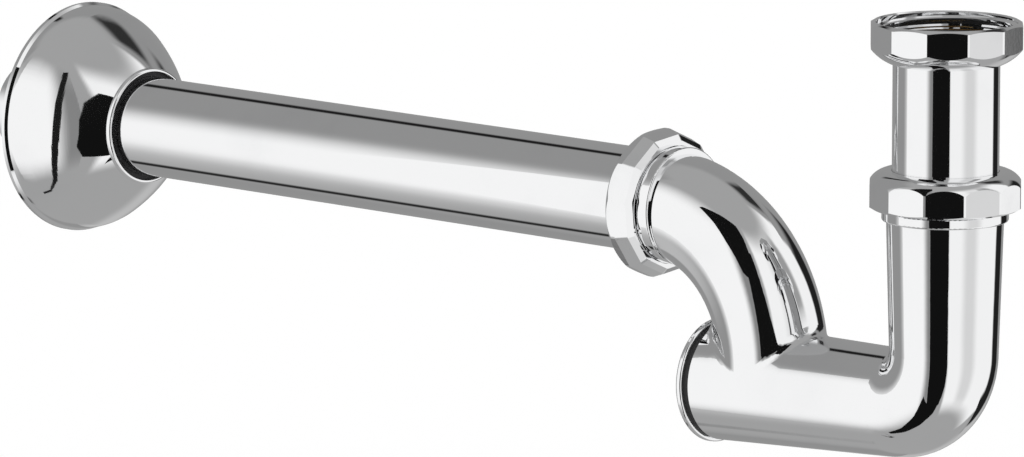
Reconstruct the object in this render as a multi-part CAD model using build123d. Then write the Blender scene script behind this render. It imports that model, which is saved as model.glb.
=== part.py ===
from build123d import *
from math import cos, radians, sin
import os

# Basin trap with a side outlet to the wall.
# Frame: origin at the centre of the inlet mouth, +Z up, the wall towards -X.
# All sizes are in millimetres, all angles in degrees.

# Clearances
slide_clearance = 0.1        # radial, tube in a socket or a nut
ring_clearance = 0.05        # radial, seals and rings on a tube
thread_clearance = 0.1       # radial, between plain thread cylinders
pocket_clearance = 0.2       # radial, tube collar in the inlet nut
seat_gap = 0.1               # axial, between faces of pieces that turn
nut_foot_gap = 0.2           # axial, nut above the collar ring
seal_gap = 0.25              # axial, cone seal above its seat
pipe_seat_gap = 0.6          # axial, pipe end to the floor of its socket

# Tubes
tube_od = 32.0
tube_wall = 1.0
tube_edge = 0.3              # chamfer on a cut tube end
visible_tube = 32.3          # inlet tube that shows between its two nuts
tube_insert = 15.8           # inlet tube below the foot of the body collar ring
tube_travel = 14.0           # room for the inlet tube to go further in
tube_travel_margin = 1.5     # socket past the deepest tube end
wall_distance = 365.5        # inlet axis to the face of the wall
wall_insert = 25.0           # wall pipe inside the wall
insert_mark_width = 1.0      # rolled ring that marks the depth of the wall insert
insert_mark_depth = 0.25

# Tube collar and inlet gasket
tube_collar_width = 2.4
tube_collar_height = 1.4
inlet_gasket_height = 2.2

# Threaded ends of the body, heights counted from the foot of the collar ring
collar_round = 0.6
relief_depth = 0.6           # relief between collar ring and thread
relief_height = 1.0
thread_height = 5.6
thread_chamfer = 0.5
seat_depth = 3.0
leg_collar_width = 2.9       # collar ring outside the socket
leg_collar_height = 3.4
leg_seat_mouth = 2.7         # cone seat outside the tube, at its mouth
leg_seat_floor = 0.9         # cone seat outside the tube, at its floor
leg_thread_lip = 1.3         # thread radius outside the seat mouth
leg_seal_lip = 0.7           # seal radius outside the seat mouth
outlet_collar_width = 2.1
outlet_collar_height = 4.4
outlet_seat_mouth = 1.3
outlet_seat_floor = 0.5
outlet_thread_lip = 0.9
outlet_seal_lip = 0.5
outlet_socket_floor = 1.6    # floor of the wall pipe socket

# Cast body
elbow_bore_extra = 0.4       # body bore over the tube bore, radial
body_wall = 1.0
leg_top_wall = 1.5
leg_length = 40.15           # collar ring down to the elbow
elbow_inner_round = 1.25     # inside corner of the elbow
chamber_fall = 1.7           # slope of the chamber down to its cleanout end
chamber_end_wall = 2.2
chamber_end_land = 1.9       # cast end past the side of the riser
riser_offset = 67.1          # inlet axis to riser axis
riser_wall = 1.4
riser_foot = 5.8             # straight stretch above the chamber axis
riser_bend = 44.3            # centreline radius
riser_bore_arc = 85.0        # bore bend ends inside the outlet socket
riser_blend = 4.0            # fillet between riser and chamber
chamber_overrun = 12.0       # stretch of the chamber that is cast on and cut off
outlet_ring_inset = 8.6      # outlet collar ring before the end of the bend

# Union nuts
nut_sides = 12
nut_corner_trim = 0.7        # turned radius outside the flats
nut_corner_round = 1.8
nut_neck_width = 0.7         # nut face around the tube
nut_ledge = 2.8              # floor of a union nut around its tube
nut_wall = 2.4               # thread to flat
nut_mouth_inset = 0.8        # mouth face inside the flats
nut_mouth_chamfer = 0.9
body_nut_height = 11.4
body_dome_height = 4.2
body_dome_bulge = 1.4
outlet_nut_height = 11.4
outlet_dome_height = 4.3
outlet_dome_bulge = 1.0
outlet_band = 1.6            # upright part of the flats
outlet_mouth_wall = 0.9      # mouth face outside the thread
outlet_edge_height = 1.4     # bevelled edge between mouth face and flats
outlet_edge_width = 1.7
outlet_flat_rise = 1.4       # how far the sloping flats widen
inlet_nut_height = 12.6
inlet_dome_height = 5.0
inlet_dome_bulge = 0.6
inlet_ledge = 2.2
inlet_thread_r = 20.955      # G 1 1/4 major radius
inlet_mouth_chamfer = 0.4
inlet_nut_turn = 10.8        # angle of one flat from +X
body_nut_turn = 9.0
outlet_nut_turn = 24.0       # angle of one flat from +Y

# Slip rings
slip_ring_width = 0.2        # slip ring outside the seal lip
slip_ring_height = 0.9

# Cleanout plug and gasket
plug_thread_step = 0.5       # plug thread outside the elbow bore
plug_thread_length = 8.0
plug_socket_margin = 1.5     # socket thread past the end of the plug
plug_wall = 2.9
plug_flange_overhang = 0.9
plug_flange_height = 2.2
plug_flange_round = 0.8
plug_round_limit = 0.45      # largest share of the flange height for its rounds
plug_slot_width = 3.0
plug_slot_depth = 1.3
plug_gasket_inset = 0.4
plug_gasket_height = 2.2

# Rosette, spun from sheet, depths counted from the wall
rosette_sheet = 0.7
rosette_rim_r = 37.6
rosette_rim_band = 1.3
rosette_rim_step = 0.8
shoulder_start = 2.1
shoulder_end = 9.2
shoulder_fall = 1.9
shoulder_bulge = 0.4
rosette_dome_bulge = 0.9
rosette_neck = 1.6
rosette_lip = 1.0
rosette_depth = 31.0
grip_ring_width = 2.1
grip_ring_height = 2.4

# Radii that follow from the sizes above
tube_r = tube_od / 2
bore_r = tube_r - tube_wall
socket_r = tube_r + slide_clearance
nut_hole_r = tube_r + slide_clearance
ring_hole_r = tube_r + ring_clearance
tube_collar_r = tube_r + tube_collar_width
body_bore_r = bore_r + elbow_bore_extra
elbow_r = body_bore_r + body_wall
leg_top_r = socket_r + leg_top_wall
riser_r = body_bore_r + riser_wall
plug_thread_r = body_bore_r + plug_thread_step
plug_socket_r = plug_thread_r + thread_clearance
plug_bore_r = plug_thread_r - plug_wall
chamber_end_r = plug_socket_r + chamber_end_wall
plug_flange_r = chamber_end_r + plug_flange_overhang
plug_gasket_r = chamber_end_r - plug_gasket_inset
nut_neck_r = nut_hole_r + nut_neck_width
rosette_neck_r = ring_hole_r + grip_ring_width + ring_clearance + rosette_sheet



class ThreadedEnd:
    """Radii and heights of one threaded end with its seal, slip ring and nut."""

    def __init__(self, collar_width, collar_height, seat_mouth, seat_floor, lip, seal_lip, nut_height):
        self.collar_r = socket_r + collar_width
        self.collar_height = collar_height
        self.relief_r = self.collar_r - relief_depth
        self.relief_top = collar_height + relief_height
        self.top = self.relief_top + thread_height
        self.seat_foot = self.top - seat_depth
        self.seat_mouth_r = tube_r + seat_mouth
        self.seat_floor_r = tube_r + seat_floor
        self.thread_r = self.seat_mouth_r + lip
        self.nut_thread_r = self.thread_r + thread_clearance
        self.seal_lip_r = self.seat_mouth_r + seal_lip
        self.slip_ring_r = self.seal_lip_r + slip_ring_width
        self.nut_foot = collar_height + nut_foot_gap
        self.nut_height = nut_height
        self.nut_top = self.nut_foot + nut_height
        self.slip_ring_top = self.nut_top - nut_ledge - seat_gap
        self.slip_ring_foot = self.slip_ring_top - slip_ring_height


leg_thread = ThreadedEnd(
    leg_collar_width, leg_collar_height, leg_seat_mouth, leg_seat_floor,
    leg_thread_lip, leg_seal_lip, body_nut_height,
)
outlet_thread = ThreadedEnd(
    outlet_collar_width, outlet_collar_height, outlet_seat_mouth, outlet_seat_floor,
    outlet_thread_lip, outlet_seal_lip, outlet_nut_height,
)
flat_r = leg_thread.nut_thread_r + nut_wall
nut_mouth_r = flat_r - nut_mouth_inset

# Heights on the inlet axis
collar_foot_z = -(inlet_nut_height - inlet_ledge - seat_gap)
collar_top_z = collar_foot_z + tube_collar_height
gasket_top_z = collar_top_z + inlet_gasket_height
ring_z = -(inlet_nut_height + visible_tube + leg_thread.nut_top)
tube_end_z = ring_z - tube_insert
elbow_bend = elbow_r + elbow_inner_round
elbow_centre_z = ring_z - leg_length
chamber_z = elbow_centre_z - elbow_bend
wall_pipe_z = chamber_z + riser_foot + riser_bend

# Planes of the threaded ends, the chamber and the wall
riser_centre_x = -riser_offset - riser_bend
outlet_x = riser_centre_x + outlet_ring_inset
fall_sin = sin(radians(chamber_fall))
fall_cos = cos(radians(chamber_fall))
elbow_exit = Vector(-elbow_bend * (1 - fall_sin), 0, elbow_centre_z - elbow_bend * fall_cos)
chamber_way = Vector(-fall_cos, 0, -fall_sin)
chamber_length = (riser_offset + riser_r + chamber_end_land + elbow_exit.X) / fall_cos
leg_end = Plane((0, 0, ring_z))
outlet_end = Plane((outlet_x, 0, wall_pipe_z), x_dir=(0, 1, 0), z_dir=(-1, 0, 0))
chamber_start = Plane(elbow_exit, x_dir=(0, 1, 0), z_dir=chamber_way)
chamber_end = Plane(elbow_exit + chamber_way * chamber_length, x_dir=(0, 1, 0), z_dir=chamber_way)
wall_face = Plane((-wall_distance, 0, wall_pipe_z), x_dir=(0, 1, 0), z_dir=(1, 0, 0))


def turned(*points):
    """Solid of revolution about local Z from (radius, height) corners."""
    return revolve(Plane.XZ * make_face(Polyline(*points, close=True)), Axis.Z)


def ring(outer_r, inner_r, foot, top):
    """Flat ring about local Z."""
    return turned((inner_r, foot), (outer_r, foot), (outer_r, top), (inner_r, top))


def tapered(foot_r, top_r, foot, top):
    """Solid cone frustum about local Z."""
    return turned((0, foot), (foot_r, foot), (top_r, top), (0, top))


def upright(radius, foot_z, height):
    """Solid cylinder on the riser axis."""
    return Pos(-riser_offset, 0, foot_z) * tapered(radius, radius, 0, height)


def bend(section_r, start, centre_x, arc):
    """Quarter-like bend of a level circle about a horizontal axis."""
    section = Plane(start) * Circle(section_r)
    return revolve(section, Axis((centre_x, 0, start[2]), (0, 1, 0)), arc)


def cut_tube(foot, top):
    """Plain tube about local Z with the edges of its ends broken."""
    return turned(
        (bore_r, foot + tube_edge),
        (bore_r + tube_edge, foot),
        (tube_r - tube_edge, foot),
        (tube_r, foot + tube_edge),
        (tube_r, top - tube_edge),
        (tube_r - tube_edge, top),
        (bore_r + tube_edge, top),
        (bore_r, top - tube_edge),
    )


def flats(apothem, foot, turn):
    """Twelve-sided outline with rounded corners at a height on local Z."""
    outline = RegularPolygon(apothem, nut_sides, major_radius=False)
    outline = fillet(outline.vertices(), nut_corner_round)
    return Pos(0, 0, foot) * Rot(0, 0, turn + 180 / nut_sides) * outline


def nut_form(foot_points, height, dome_height, dome_bulge):
    """Turned form of a nut, mouth at z = 0, rounded at the top where the tube enters."""
    foot = Polyline((0, height), (0, 0), *foot_points)
    side = Line(foot @ 1, ((foot @ 1).X, height - dome_height))
    dome = SagittaArc(side @ 1, (nut_neck_r, height), -dome_bulge)
    top = Line(dome @ 1, (0, height))
    outline = make_face(foot.edges() + side.edges() + dome.edges() + top.edges())
    return revolve(Plane.XZ * outline, Axis.Z)


def nut_blank(height, dome_height, dome_bulge, turn):
    """Twelve-sided blank with upright flats."""
    foot_points = [(nut_mouth_r, 0), (flat_r + nut_corner_trim, nut_mouth_chamfer)]
    form = nut_form(foot_points, height, dome_height, dome_bulge)
    return extrude(flats(flat_r, 0, turn), height) & form


def nut_bore(end):
    """Thread and tube hole of a union nut, mouth at z = 0."""
    ledge = end.nut_height - nut_ledge
    return turned(
        (0, 0),
        (end.nut_thread_r, 0),
        (end.nut_thread_r, ledge),
        (nut_hole_r, ledge),
        (nut_hole_r, end.nut_height),
        (0, end.nut_height),
    )


# Inlet nut: screws onto the basin waste, mouth upwards
def make_inlet_nut():
    blank = nut_blank(inlet_nut_height, inlet_dome_height, inlet_dome_bulge, -inlet_nut_turn)
    ledge = inlet_nut_height - inlet_ledge
    pocket_r = tube_collar_r + pocket_clearance
    bore = turned(
        (0, 0),
        (inlet_thread_r + inlet_mouth_chamfer, 0),
        (inlet_thread_r, inlet_mouth_chamfer),
        (inlet_thread_r, -gasket_top_z),
        (pocket_r, -gasket_top_z),
        (pocket_r, ledge),
        (nut_hole_r, ledge),
        (nut_hole_r, inlet_nut_height),
        (0, inlet_nut_height),
    )
    return Rot(180, 0, 0) * (blank - bore)


# Inlet tube: brass tube with a collar that the inlet nut pulls up
def make_inlet_tube():
    collar_root_r = tube_r - tube_wall / 2
    collar = ring(tube_collar_r, collar_root_r, collar_foot_z, collar_top_z)
    return cut_tube(tube_end_z, collar_top_z) + collar


# Inlet gasket: flat rubber ring on the tube collar
def make_inlet_gasket():
    return ring(tube_collar_r, bore_r, collar_top_z, gasket_top_z)


# Body nut: squeezes a cone seal onto the inlet tube
def make_body_nut():
    blank = nut_blank(body_nut_height, body_dome_height, body_dome_bulge, body_nut_turn)
    return Pos(0, 0, leg_thread.nut_foot) * (blank - nut_bore(leg_thread))


# Outlet nut: squeezes a cone seal onto the wall pipe, its flats slope in towards its mouth
def make_outlet_nut():
    mouth_r = outlet_thread.nut_thread_r + outlet_mouth_wall
    edge_r = mouth_r + outlet_edge_width
    band_r = edge_r + outlet_flat_rise
    band_foot = outlet_nut_height - outlet_dome_height - outlet_band
    mouth = flats(mouth_r, 0, outlet_nut_turn)
    edge = flats(edge_r, outlet_edge_height, outlet_nut_turn)
    band = flats(band_r, band_foot, outlet_nut_turn)
    blank = loft([mouth, edge], ruled=True) + loft([edge, band], ruled=True)
    blank += extrude(band, outlet_nut_height - band_foot)
    foot_points = [(band_r + nut_corner_trim, 0)]
    blank &= nut_form(foot_points, outlet_nut_height, outlet_dome_height, outlet_dome_bulge)
    return Pos(0, 0, outlet_thread.nut_foot) * (blank - nut_bore(outlet_thread))


# Slip ring: thin washer that lets the nut turn on the seal
def make_slip_ring(end):
    return ring(end.slip_ring_r, ring_hole_r, end.slip_ring_foot, end.slip_ring_top)


# Cone seal: rubber, tapered like the seat in the threaded end
def make_cone_seal(end):
    return turned(
        (ring_hole_r, end.seat_foot + seal_gap),
        (end.seat_floor_r, end.seat_foot + seal_gap),
        (end.seat_mouth_r, end.top + seal_gap),
        (end.seal_lip_r, end.top + seal_gap),
        (end.seal_lip_r, end.slip_ring_foot),
        (ring_hole_r, end.slip_ring_foot),
    )


# Threaded end of the body: collar ring, relief and thread
def make_threaded_end(end):
    collar = tapered(end.collar_r, end.collar_r, 0, end.collar_height)
    collar = fillet(collar.edges().filter_by(GeomType.CIRCLE), collar_round)
    relief_foot = end.collar_height / 2
    relief = tapered(end.relief_r, end.relief_r, relief_foot, end.relief_top + thread_height / 2)
    thread = turned(
        (0, end.relief_top),
        (end.thread_r - thread_chamfer, end.relief_top),
        (end.thread_r, end.relief_top + thread_chamfer),
        (end.thread_r, end.top - thread_chamfer),
        (end.thread_r - thread_chamfer, end.top),
        (0, end.top),
    )
    return collar + relief + thread


# Bore of a threaded end: cone seat and the tube socket below it
def end_bore(end, socket_foot):
    return turned(
        (0, socket_foot),
        (socket_r, socket_foot),
        (socket_r, end.seat_foot),
        (end.seat_floor_r, end.seat_foot),
        (end.seat_mouth_r, end.top),
        (0, end.top),
    )


# Trap body: one casting of leg, elbow, chamber and riser with two threaded ends
def make_trap_body():
    elbow_arc = 90 - chamber_fall
    elbow_start = (0, 0, elbow_centre_z)
    riser_start = (-riser_offset, 0, chamber_z + riser_foot)

    leg = leg_end * tapered(elbow_r, leg_top_r, -leg_length, 0)
    elbow = bend(elbow_r, elbow_start, -elbow_bend, elbow_arc)
    end_slope = (chamber_end_r - elbow_r) / chamber_length
    long_r = chamber_end_r + end_slope * chamber_overrun
    chamber = chamber_start * tapered(elbow_r, long_r, 0, chamber_length + chamber_overrun)
    riser = bend(riser_r, riser_start, riser_centre_x, -90) + upright(riser_r, chamber_z, riser_foot)
    blended = chamber + riser
    blended = fillet(new_edges(chamber, riser, combined=blended), riser_blend)
    cut_r = long_r + riser_blend
    blended -= chamber_end * tapered(cut_r, cut_r, 0, 2 * chamber_overrun)
    outside = leg + elbow + blended
    outside += leg_end * make_threaded_end(leg_thread)
    outside += outlet_end * make_threaded_end(outlet_thread)

    socket_foot = -(tube_insert + tube_travel + tube_travel_margin)
    plug_socket_foot = -(plug_thread_length + plug_socket_margin)
    inside = leg_end * end_bore(leg_thread, socket_foot)
    inside += leg_end * tapered(body_bore_r, socket_r, -leg_length, socket_foot)
    inside += bend(body_bore_r, elbow_start, -elbow_bend, elbow_arc)
    inside += chamber_start * tapered(body_bore_r, body_bore_r, 0, chamber_length)
    inside += chamber_end * tapered(plug_socket_r, plug_socket_r, plug_socket_foot, 0)
    inside += upright(body_bore_r, chamber_z, riser_foot)
    inside += bend(body_bore_r, riser_start, riser_centre_x, -riser_bore_arc)
    inside += outlet_end * end_bore(outlet_thread, outlet_socket_floor)
    return outside - inside


# Cleanout plug: screws into the open end of the chamber, turned by a coin slot
def make_cleanout_plug():
    flange_top = plug_gasket_height + plug_flange_height
    flange = tapered(plug_flange_r, plug_flange_r, plug_gasket_height, flange_top)
    edge_round = min(plug_flange_round, plug_round_limit * plug_flange_height)
    flange = fillet(flange.edges().filter_by(GeomType.CIRCLE), edge_round)
    shank = ring(plug_thread_r, plug_bore_r, -plug_thread_length, plug_gasket_height)
    slot = Box(2 * plug_bore_r, plug_slot_width, plug_slot_depth)
    slot = Pos(0, 0, flange_top - plug_slot_depth / 2) * slot
    return chamber_end * (flange + shank - slot)


# Cleanout gasket: black rubber ring under the plug flange
def make_cleanout_gasket():
    return chamber_end * ring(plug_gasket_r, plug_thread_r + ring_clearance, 0, plug_gasket_height)


# Wall pipe: brass tube from the outlet socket into the wall
def make_wall_pipe():
    wall_depth = wall_distance + outlet_x
    pipe = cut_tube(outlet_socket_floor + pipe_seat_gap, wall_depth + wall_insert)
    mark = ring(tube_r + tube_wall, tube_r - insert_mark_depth, wall_depth - insert_mark_width, wall_depth)
    return outlet_end * (pipe - mark)


# Wall rosette: bell spun from sheet, slides along the pipe to the wall
def make_wall_rosette():
    shoulder_start_r = rosette_rim_r - rosette_rim_step
    shoulder_end_r = shoulder_start_r - shoulder_fall
    lip_start = rosette_depth - rosette_lip
    lip_middle = rosette_lip * cos(radians(45))
    lip_arc_r = rosette_neck_r - rosette_lip
    rim = Line((rosette_rim_r, 0), (rosette_rim_r, rosette_rim_band))
    step = Line(rim @ 1, (shoulder_start_r, shoulder_start))
    shoulder = SagittaArc(step @ 1, (shoulder_end_r, shoulder_end), -shoulder_bulge)
    dome_end = (rosette_neck_r, rosette_depth - rosette_neck)
    dome = SagittaArc(shoulder @ 1, dome_end, -rosette_dome_bulge)
    neck = Line(dome @ 1, (rosette_neck_r, lip_start))
    lip_point = (lip_arc_r + lip_middle, lip_start + lip_middle)
    lip = ThreePointArc(neck @ 1, lip_point, (lip_arc_r, rosette_depth))
    skin = Wire([rim, step, shoulder, dome, neck, lip])
    outline = skin.offset_2d(rosette_sheet, side=Side.LEFT, closed=True)
    return wall_face * revolve(Plane.XZ * make_face(outline), Axis.Z)


# Grip ring: rubber ring in the neck that holds the rosette on the pipe
def make_rosette_grip_ring():
    top = rosette_depth - rosette_lip - rosette_sheet
    return wall_face * ring(ring_hole_r + grip_ring_width, ring_hole_r, top - grip_ring_height, top)


pieces = {
    "inlet_nut": make_inlet_nut(),
    "inlet_gasket": make_inlet_gasket(),
    "inlet_tube": make_inlet_tube(),
    "body_nut": leg_end * make_body_nut(),
    "body_slip_ring": leg_end * make_slip_ring(leg_thread),
    "body_cone_seal": leg_end * make_cone_seal(leg_thread),
    "trap_body": make_trap_body(),
    "cleanout_plug": make_cleanout_plug(),
    "cleanout_gasket": make_cleanout_gasket(),
    "outlet_nut": outlet_end * make_outlet_nut(),
    "outlet_slip_ring": outlet_end * make_slip_ring(outlet_thread),
    "outlet_cone_seal": outlet_end * make_cone_seal(outlet_thread),
    "wall_pipe": make_wall_pipe(),
    "wall_rosette": make_wall_rosette(),
    "rosette_grip_ring": make_rosette_grip_ring(),
}

os.makedirs("parts", exist_ok=True)
for name, piece in pieces.items():
    export_step(piece, f"parts/{name}.step")
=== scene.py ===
import math
import bpy
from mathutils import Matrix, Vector


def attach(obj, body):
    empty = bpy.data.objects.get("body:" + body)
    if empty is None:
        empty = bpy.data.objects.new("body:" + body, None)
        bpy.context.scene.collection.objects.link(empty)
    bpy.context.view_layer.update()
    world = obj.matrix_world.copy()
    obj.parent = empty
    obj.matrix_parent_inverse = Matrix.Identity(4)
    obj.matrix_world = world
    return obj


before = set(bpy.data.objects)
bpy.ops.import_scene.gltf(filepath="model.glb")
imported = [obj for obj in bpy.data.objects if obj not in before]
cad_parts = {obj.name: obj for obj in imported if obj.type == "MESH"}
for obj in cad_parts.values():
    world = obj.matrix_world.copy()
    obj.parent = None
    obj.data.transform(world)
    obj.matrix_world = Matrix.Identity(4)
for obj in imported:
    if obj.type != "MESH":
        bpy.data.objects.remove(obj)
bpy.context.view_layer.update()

# Trap body: leg, elbow, chamber and riser in one brass casting,
# ground smooth and chromed. The polish leaves a faint waviness from the casting.


class Wire:
    """A socket of a node tree, with Python's signs for its Math nodes."""

    def __init__(self, tree, socket=None):
        self.tree = tree
        self.socket = socket

    def node(self, kind, settings, inputs, output=0):
        made = self.tree.nodes.new(kind)
        for name, value in settings.items():
            setattr(made, name, value)
        for name, value in inputs.items():
            if isinstance(value, Wire):
                self.tree.links.new(value.socket, made.inputs[name])
            else:
                made.inputs[name].default_value = value
        return Wire(self.tree, made.outputs[output] if made.outputs else None)

    def math(self, operation, *values):
        return self.node("ShaderNodeMath", {"operation": operation}, dict(enumerate(values)))

    def __add__(self, other):
        return self.math("ADD", self, other)

    def __radd__(self, other):
        return self.math("ADD", other, self)

    def __sub__(self, other):
        return self.math("SUBTRACT", self, other)

    def __rsub__(self, other):
        return self.math("SUBTRACT", other, self)

    def __mul__(self, other):
        return self.math("MULTIPLY", self, other)

    def __rmul__(self, other):
        return self.math("MULTIPLY", other, self)


def new_finish(name):
    """An empty material and a wire into its node tree."""
    material = bpy.data.materials.new(name)
    material.use_nodes = True
    material.node_tree.nodes.clear()
    return material, Wire(material.node_tree)


def place_on(wire):
    """Object coordinates, and their X, Y and Z one by one."""
    place = wire.node("ShaderNodeTexCoord", {}, {}, "Object")
    return place, [wire.node("ShaderNodeSeparateXYZ", {}, {0: place}, axis) for axis in "XYZ"]


def noise(wire, place, scale, detail):
    return wire.node("ShaderNodeTexNoise", {}, {"Vector": place, "Scale": scale, "Detail": detail}, 0)


def step(wire, value, low, high):
    """0 below low, 1 above high, smooth between them."""
    sockets = {"Value": value, 1: low, 2: high}
    return wire.node("ShaderNodeMapRange", {"interpolation_type": "SMOOTHSTEP"}, sockets, 0)


def tint(wire, share, low, high):
    """One colour where share is 0, another where it is 1."""
    return wire.node("ShaderNodeMix", {"data_type": "RGBA"}, {"Factor": share, 6: low, 7: high}, 2)


def bumped(wire, height, depth, strength):
    return wire.node("ShaderNodeBump", {}, {"Height": height, "Distance": depth, "Strength": strength}, 0)


def coat(wire, colour, rough, metal, normal):
    """Closes a finish: one surface shader and the material's output."""
    sockets = {"Base Color": colour, "Roughness": rough, "Metallic": metal, "Normal": normal}
    surface = wire.node("ShaderNodeBsdfPrincipled", {}, sockets, 0)
    wire.node("ShaderNodeOutputMaterial", {}, {"Surface": surface})


def finish_with(node, material):
    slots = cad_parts[node].data.materials
    slots.clear()
    slots.append(material)


chrome = (0.90, 0.903, 0.908, 1)
handled_chrome = (0.87, 0.873, 0.88, 1)

cast_chrome, wire = new_finish("cast_chrome")
place, (x, y, z) = place_on(wire)
cloud = noise(wire, place, 35, 3)
peel = noise(wire, place, 260, 2)
film = step(wire, cloud, 0.45, 0.75)
coat(
    wire,
    tint(wire, film, chrome, handled_chrome),
    0.025 + 0.035 * film,
    1.0,
    bumped(wire, peel, 0.00004, 0.25),
)
finish_with("trap_body", cast_chrome)

# Cleanout plug and its gasket: a turned and chromed brass plug with a coin slot,
# screwed into the low end of the chamber against a flat rubber ring.
bare_brass = (0.60, 0.43, 0.20, 1)
plug_centre = Vector((-0.0858, 0, -0.1197304))
plug_axis = Vector((-0.99955986, 0, -0.02966624))
turned_chrome, wire = new_finish("turned_chrome")
place, (x, y, z) = place_on(wire)
along = (x - plug_centre.x) * plug_axis.x + (z - plug_centre.z) * plug_axis.z
fall = (z - plug_centre.z) * plug_axis.x - (x - plug_centre.x) * plug_axis.z
from_axis = wire.math("SQRT", y * y + fall * fall)
lathe_lines = noise(wire, wire.node("ShaderNodeCombineXYZ", {}, {0: from_axis, 1: along}), 2600, 2)
film = step(wire, noise(wire, place, 60, 3), 0.45, 0.75)
thread = 1 - step(wire, along, -0.0006, -0.0002)
thread_wave = wire.math("SINE", along * (2 * math.pi / 0.002))
coat(
    wire,
    tint(wire, thread, tint(wire, film, chrome, handled_chrome), bare_brass),
    0.03 + 0.04 * film + 0.2 * thread,
    1.0,
    bumped(wire, lathe_lines * 0.03 + thread * thread_wave, 0.0003, 0.3),
)
finish_with("cleanout_plug", turned_chrome)

black_rubber, wire = new_finish("black_rubber")
place, (x, y, z) = place_on(wire)
grain = noise(wire, place, 1800, 4)
bloom = step(wire, noise(wire, place, 120, 3), 0.45, 0.8)
coat(
    wire,
    tint(wire, bloom, (0.012, 0.012, 0.013, 1), (0.03, 0.03, 0.032, 1)),
    0.5 + 0.2 * grain,
    0.0,
    bumped(wire, grain, 0.00008, 0.5),
)
finish_with("cleanout_gasket", black_rubber)

# Inlet tube and its flat gasket: drawn brass tube with a flared collar,
# chromed outside and bare brass in its bore, with a rubber ring on the collar.


def stretched(wire, place, scale):
    """The place on the piece, drawn out or squeezed along each axis."""
    return wire.node("ShaderNodeMapping", {}, {"Vector": place, "Scale": scale}, 0)


drawn_chrome, wire = new_finish("drawn_chrome")
place, (x, y, z) = place_on(wire)
from_axis = wire.math("SQRT", x * x + y * y)
bore = 1 - step(wire, from_axis, 0.0150, 0.0154)
draw_lines = noise(wire, stretched(wire, place, (900, 900, 12)), 1, 2)
film = step(wire, noise(wire, place, 45, 3), 0.45, 0.75)
coat(
    wire,
    tint(wire, bore, tint(wire, film, chrome, handled_chrome), bare_brass),
    0.025 + 0.02 * film + 0.015 * draw_lines + 0.3 * bore,
    1.0,
    bumped(wire, draw_lines, 0.00001, 0.12),
)
finish_with("inlet_tube", drawn_chrome)
finish_with("inlet_gasket", black_rubber)

# Inlet nut: forged and turned brass with twelve polished flats, chromed,
# with the thread of the basin waste cut in its mouth.
nut_chrome, wire = new_finish("nut_chrome")
place, (x, y, z) = place_on(wire)
film = step(wire, noise(wire, place, 70, 3), 0.45, 0.75)
buff_lines = noise(wire, place, 700, 2)
coat(
    wire,
    tint(wire, film, chrome, handled_chrome),
    0.03 + 0.035 * film,
    1.0,
    bumped(wire, buff_lines, 0.00002, 0.12),
)
finish_with("inlet_nut", nut_chrome)

ridge_root_r = 0.02105
ridge_crest_r = 0.0195
ridge_height = 0.0019
ridge_pitch = 0.002309
ridge_turns = 1.85
ridge_start_z = -0.0014
bpy.ops.object.select_all(action="DESELECT")
ridge_place = ((ridge_root_r + ridge_crest_r) / 2, 0, ridge_start_z)
bpy.ops.mesh.primitive_plane_add(size=1, location=ridge_place, rotation=(math.pi / 2, 0, 0))
inlet_thread = bpy.context.object
inlet_thread.name = "inlet_thread"
inlet_thread.scale = (ridge_root_r - ridge_crest_r, ridge_height, 1)
bpy.ops.object.transform_apply(location=True, rotation=True, scale=True)
bpy.ops.object.mode_set(mode="EDIT")
bpy.ops.mesh.select_all(action="DESELECT")
bpy.ops.mesh.select_mode(type="VERT")
bpy.ops.object.mode_set(mode="OBJECT")
for vertex in inlet_thread.data.vertices:
    vertex.select = vertex.co.x < ridge_place[0]
bpy.ops.object.mode_set(mode="EDIT")
bpy.ops.transform.resize(value=(1, 1, 0.25))
bpy.ops.object.mode_set(mode="OBJECT")
winding = inlet_thread.modifiers.new("winding", "SCREW")
winding.axis = "Z"
winding.angle = 2 * math.pi * ridge_turns
winding.screw_offset = -ridge_pitch * ridge_turns
winding.steps = winding.render_steps = 160
winding.use_normal_calculate = True
bpy.ops.object.modifier_apply(modifier="winding")
bpy.ops.object.mode_set(mode="EDIT")
bpy.ops.mesh.select_all(action="SELECT")
bpy.ops.mesh.remove_doubles(threshold=0.00001)
bpy.ops.mesh.fill_holes(sides=0)
bpy.ops.mesh.select_all(action="SELECT")
bpy.ops.mesh.normals_make_consistent(inside=False)
bpy.ops.object.mode_set(mode="OBJECT")
bpy.ops.object.shade_smooth_by_angle(angle=math.radians(35))
inlet_thread.data.materials.append(nut_chrome)
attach(inlet_thread, "inlet_nut")

# Body nut with its slip ring and cone seal: the nut is forged and chromed like the inlet nut.
# It presses a plastic washer and a rubber cone onto the tube.
finish_with("body_nut", nut_chrome)
finish_with("body_cone_seal", black_rubber)

slip_plastic, wire = new_finish("slip_plastic")
place, (x, y, z) = place_on(wire)
flow = noise(wire, place, 220, 3)
coat(
    wire,
    tint(wire, flow, (0.62, 0.61, 0.57, 1), (0.74, 0.73, 0.69, 1)),
    0.35 + 0.2 * flow,
    0.0,
    bumped(wire, flow, 0.00002, 0.3),
)
finish_with("body_slip_ring", slip_plastic)

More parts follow.
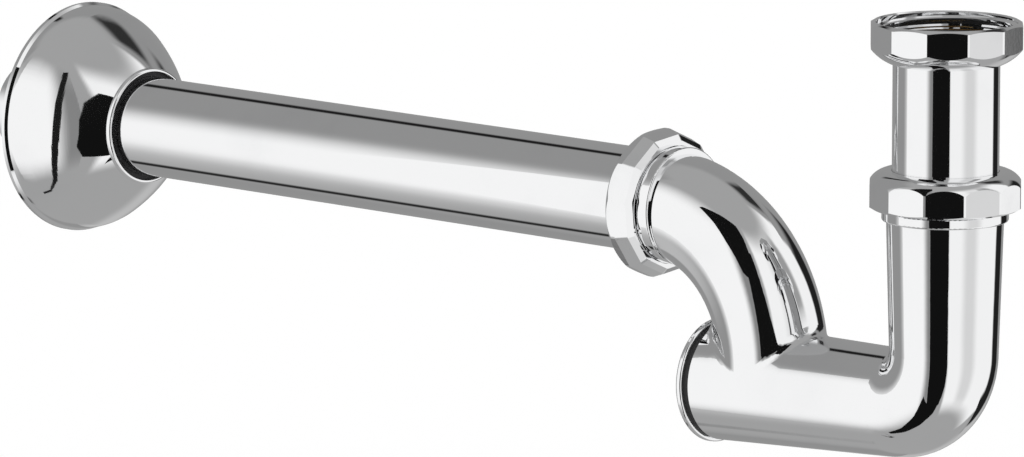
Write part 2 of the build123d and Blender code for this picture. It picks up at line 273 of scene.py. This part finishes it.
# Wall pipe: a straight length of drawn brass tube, chromed outside,
# cut square at the wall end and pushed into the drain there.
pipe_z = -0.0676
pipe_end_x = -0.3903
drawn_pipe_chrome, wire = new_finish("drawn_pipe_chrome")
place, (x, y, z) = place_on(wire)
from_axis = wire.math("SQRT", y * y + (z - pipe_z) * (z - pipe_z))
bore = 1 - step(wire, from_axis, 0.0150, 0.0154)
cut_end = 1 - step(wire, x, pipe_end_x - 0.0001, pipe_end_x)
bare = wire.math("MAXIMUM", bore, cut_end)
draw_lines = noise(wire, stretched(wire, place, (12, 900, 900)), 1, 2)
film = step(wire, noise(wire, place, 45, 3), 0.45, 0.75)
coat(
    wire,
    tint(wire, bare, tint(wire, film, chrome, handled_chrome), bare_brass),
    0.025 + 0.02 * film + 0.015 * draw_lines + 0.3 * bare,
    1.0,
    bumped(wire, draw_lines, 0.00001, 0.12),
)
finish_with("wall_pipe", drawn_pipe_chrome)

# Outlet nut with its slip ring and cone seal: same forging and finish as the other nuts.
# It presses its seal onto the wall pipe.
finish_with("outlet_nut", nut_chrome)
finish_with("outlet_cone_seal", black_rubber)
finish_with("outlet_slip_ring", slip_plastic)

# Rosette and its grip ring: thin brass sheet spun over a form and chromed, dull behind.
# A rubber ring in its neck holds it on the pipe, against the wall.
spun_chrome, wire = new_finish("spun_chrome")
place, (x, y, z) = place_on(wire)
from_axis = wire.math("SQRT", y * y + (z - pipe_z) * (z - pipe_z))
spin_lines = noise(wire, wire.node("ShaderNodeCombineXYZ", {}, {0: from_axis, 1: x}), 1500, 2)
facing = wire.node("ShaderNodeTexCoord", {}, {}, "Normal")
back = 1 - step(wire, wire.node("ShaderNodeSeparateXYZ", {}, {0: facing}, "X"), -0.3, -0.1)
film = step(wire, noise(wire, place, 40, 3), 0.45, 0.75)
coat(
    wire,
    tint(wire, back, tint(wire, film, chrome, handled_chrome), (0.62, 0.60, 0.56, 1)),
    0.025 + 0.03 * film + 0.3 * back,
    1.0,
    bumped(wire, spin_lines, 0.00001, 0.15),
)
finish_with("wall_rosette", spun_chrome)
finish_with("rosette_grip_ring", black_rubber)

# Floor: a plain white sheet laid flat under the part.
# It takes the part's shadow but is kept out of the chrome.
floor_z = -0.30
bpy.ops.object.select_all(action="DESELECT")
bpy.ops.mesh.primitive_plane_add(size=6, location=(-0.17, 0, floor_z))
floor = bpy.context.object
floor.name = "floor_sheet"
floor.visible_glossy = False
white_sheet, wire = new_finish("white_sheet")
matt = wire.node("ShaderNodeBsdfDiffuse", {}, {"Color": (1, 1, 1, 1)}, 0)
wire.node("ShaderNodeOutputMaterial", {}, {"Surface": matt})
floor.data.materials.append(white_sheet)

# Camera: a long lens, a little above the part and to the right of its middle.
# Its turn, rise and distance are counted from the middle of the part.
view_turn = math.radians(42.51)
view_rise = math.radians(9.78)
view_distance = 2.544
view_back = Vector((
    math.sin(view_turn) * math.cos(view_rise),
    -math.cos(view_turn) * math.cos(view_rise),
    math.sin(view_rise),
))
view_target = Vector((-0.17507, 0, -0.08291))
camera_data = bpy.data.cameras.new("camera")
camera_data.sensor_width = 36
camera_data.lens = 285.9
camera_data.clip_end = 50
camera = bpy.data.objects.new("camera", camera_data)
bpy.context.scene.collection.objects.link(camera)
camera.location = view_target + view_back * view_distance
camera.rotation_mode = "QUATERNION"
camera.rotation_quaternion = (-view_back).to_track_quat("-Z", "Y")
bpy.context.scene.camera = camera

# Soft box, black flags and lamp stand: a white cloth on the camera's left, three black
# cloths beside and in front of it, and a thin dark stand near the rosette.
# Only the chrome sees them, and they are cut to give the dark bands of one view.


def studio_spot(towards, across, height=0):
    """A place in the studio, in metres towards the camera, to its right and up."""
    return Vector((
        towards * math.sin(view_turn) + across * math.cos(view_turn),
        across * math.sin(view_turn) - towards * math.cos(view_turn),
        height,
    ))


def cut_card(name, corners, faces):
    """A card with these corners, given as places in the studio, that only the chrome sees."""
    mesh = bpy.data.meshes.new(name)
    mesh.from_pydata([studio_spot(*corner) for corner in corners], [], faces)
    card = bpy.data.objects.new(name, mesh)
    bpy.context.scene.collection.objects.link(card)
    card.visible_camera = False
    card.visible_diffuse = False
    card.visible_shadow = False
    card.visible_transmission = False
    return card


def light_up(card, finish, wire, shade, shape):
    """Gives a card its own light where shape is 1, and leaves it clear where it is 0."""
    lit = wire.node("ShaderNodeEmission", {}, {"Color": shade}, 0)
    clear = wire.node("ShaderNodeBsdfTransparent", {}, {}, 0)
    surface = wire.node("ShaderNodeMixShader", {}, {0: shape, 1: clear, 2: lit}, 0)
    wire.node("ShaderNodeOutputMaterial", {}, {"Surface": surface})
    card.data.materials.append(finish)


box_near = (0.638, -0.333)
box_far = (-0.091, -1.118)
box_foot, box_top = -1.5, 1.5
soft_box = cut_card(
    "soft_box",
    [(*box_far, box_foot), (*box_near, box_foot), (*box_near, box_top), (*box_far, box_top)],
    [range(4)],
)
white_cloth, wire = new_finish("white_cloth")
place, (x, y, z) = place_on(wire)
near_corner = studio_spot(*box_near)
off_x, off_y = x - near_corner.x, y - near_corner.y
from_edge = wire.math("SQRT", off_x * off_x + off_y * off_y)
glow = 0.25 + 0.75 * step(wire, from_edge, 0.09, 0.25)
stretched_cloth = step(wire, z, -1.2, -0.5) * (1 - step(wire, z, 0.35, 1.2))
light_up(soft_box, white_cloth, wire, glow, stretched_cloth)

flag_distance = 0.58
flag_corners = [
    (-0.12, -0.80),
    (-0.03, -0.72),
    (0.03, -0.45),
    (0.051, -0.20),
    (0.051, -0.08),
    (-0.03, 0.06),
    (-0.06, 0.20),
    (-0.065, 0.55),
    (-0.16, 0.53),
    (-0.29, 0.30),
    (-0.35, 0.0),
    (-0.37, -0.45),
    (-0.32, -0.70),
]
black_flag = cut_card(
    "black_flag",
    [(flag_distance, *corner) for corner in flag_corners],
    [range(len(flag_corners))],
)
riser_flag_corners = [
    (0.092, -0.129, -0.018),
    (0.115, -0.068, -0.018),
    (0.115, -0.068, 0.057),
    (0.117, -0.063, 0.139),
    (0.112, -0.077, 0.214),
    (0.091, -0.134, 0.206),
    (0.061, -0.216, 0.167),
    (0.057, -0.227, 0.144),
    (0.074, -0.180, 0.081),
    (0.082, -0.157, 0.030),
    (0.089, -0.139, 0.0),
]
riser_flag = cut_card("riser_flag", riser_flag_corners, [range(len(riser_flag_corners))])


def strip_faces(corners):
    """Faces of a strip whose corners are listed in pairs along it."""
    return [(k, k + 2, k + 3, k + 1) for k in range(0, len(corners) - 2, 2)]


elbow_flag_corners = [
    (0.026, -0.208, -0.356),
    (0.026, -0.208, -0.393),
    (0.084, -0.195, -0.374),
    (0.084, -0.195, -0.479),
    (0.141, -0.161, -0.318),
    (0.141, -0.161, -0.511),
    (0.163, -0.139, -0.248),
    (0.163, -0.139, -0.511),
    (0.170, -0.131, -0.233),
    (0.170, -0.131, -0.511),
    (0.193, -0.093, -0.298),
    (0.193, -0.093, -0.464),
    (0.209, -0.043, -0.298),
    (0.209, -0.043, -0.404),
    (0.212, -0.015, -0.286),
    (0.212, -0.015, -0.311),
]
elbow_flag = cut_card("elbow_flag", elbow_flag_corners, strip_faces(elbow_flag_corners))
black_cloth, wire = new_finish("black_cloth")
light_up(black_flag, black_cloth, wire, (0.006, 0.006, 0.006, 1), 1)
riser_flag.data.materials.append(black_cloth)
elbow_flag.data.materials.append(black_cloth)

stand_places = [
    (0.030, -0.299, 0.266),
    (0.030, -0.320, 0.135),
    (0.029, -0.334, 0.033),
    (0.028, -0.342, -0.066),
    (0.026, -0.348, -0.165),
    (0.023, -0.353, -0.298),
    (0.019, -0.359, -0.507),
]
foot_places = [(0.004, -0.392, -0.776), (-0.020, -0.431, -0.802), (-0.035, -0.452, -0.706)]
half_towards, half_across = 0.0046, 0.0095
half_foot = 0.045
stand_corners = []
for towards, across, height in stand_places:
    stand_corners.append((towards - half_towards, across + half_across, height))
    stand_corners.append((towards + half_towards, across - half_across, height))
for towards, across, height in foot_places:
    stand_corners.append((towards, across, height - half_foot))
    stand_corners.append((towards, across, height + half_foot))
lamp_stand = cut_card("lamp_stand", stand_corners, strip_faces(stand_corners))
dark_paint, wire = new_finish("dark_paint")
behind_stand = wire.node("ShaderNodeNewGeometry", {}, {}, "Backfacing")
light_up(lamp_stand, dark_paint, wire, (0.012, 0.012, 0.012, 1), 1 - behind_stand)

# Studio: even white light on the part and the floor. The chrome alone sees grey walls
# with white and black fields in its place.
# Turn and rise are in degrees, counted from the camera's side of the part.
studio = bpy.data.worlds.new("studio")
studio.use_nodes = True
studio.node_tree.nodes.clear()
wire = Wire(studio.node_tree)
ray = wire.node("ShaderNodeTexCoord", {}, {}, "Generated")
x, y, z = [wire.node("ShaderNodeSeparateXYZ", {}, {0: ray}, axis) for axis in "XYZ"]
across = x * math.cos(view_turn) + y * math.sin(view_turn)
towards = x * math.sin(view_turn) - y * math.cos(view_turn)
turn = wire.math("ARCTAN2", across, towards) * (180 / math.pi)
rise = wire.math("ARCSINE", z) * (180 / math.pi)


def edge(value, at, soft):
    return step(wire, value, at - soft, at + soft)


def between(value, low, high, soft):
    return edge(value, low, soft) * (1 - edge(value, high, soft))


def hang(tone, card, shade):
    """The tone with a card of one shade hung in front of it."""
    return tone + card * (shade - tone)


behind = 1 - between(turn, -94, 118, 4)
tone = 0.38
tone = hang(tone, behind * between(rise, -20, 58, 6), 0.30)
tone = hang(tone, behind * between(rise, -42, -22, 8), 0.52)
tone = hang(tone, between(turn, -190, -138, 4) * between(rise, -48, -8, 4), 0.30)
tone = hang(tone, between(turn, -137, -127, 3) * between(rise, -52, -40, 3), 0.02)
tone = hang(tone, between(turn, -164, -156, 2) * between(rise, 28, 50, 4), 0.012)
tone = hang(tone, between(turn, 5, 120, 3) * between(rise, -54, 56, 9), 0.97)
tone = hang(tone, between(turn, 36, 64, 9) * between(rise, -50, 50, 10), 0.72)
tone = hang(tone, between(turn, 64, 86, 5) * between(rise, 15, 55, 7), 0.35)
tone = hang(tone, between(turn, 119, 146, 3) * between(rise, -42, 26, 5), 0.015)
tone = hang(tone, between(turn, 129, 151, 4) * between(rise, 39, 56, 4), 0.03)
left_box = edge(turn, -97, 10) * (1 - edge(turn, -20, 3)) * edge(rise, -34, 13) * (1 - edge(rise, 27, 20))
tone = hang(tone, left_box, 1.0)

path = wire.node("ShaderNodeLightPath", {}, {}, "Is Glossy Ray")
level = 1 - path * (1 - tone)
sky = wire.node("ShaderNodeBackground", {}, {"Color": level}, 0)
wire.node("ShaderNodeOutputWorld", {}, {"Surface": sky})
bpy.context.scene.world = studio
bpy.context.scene.view_settings.view_transform = "Standard"
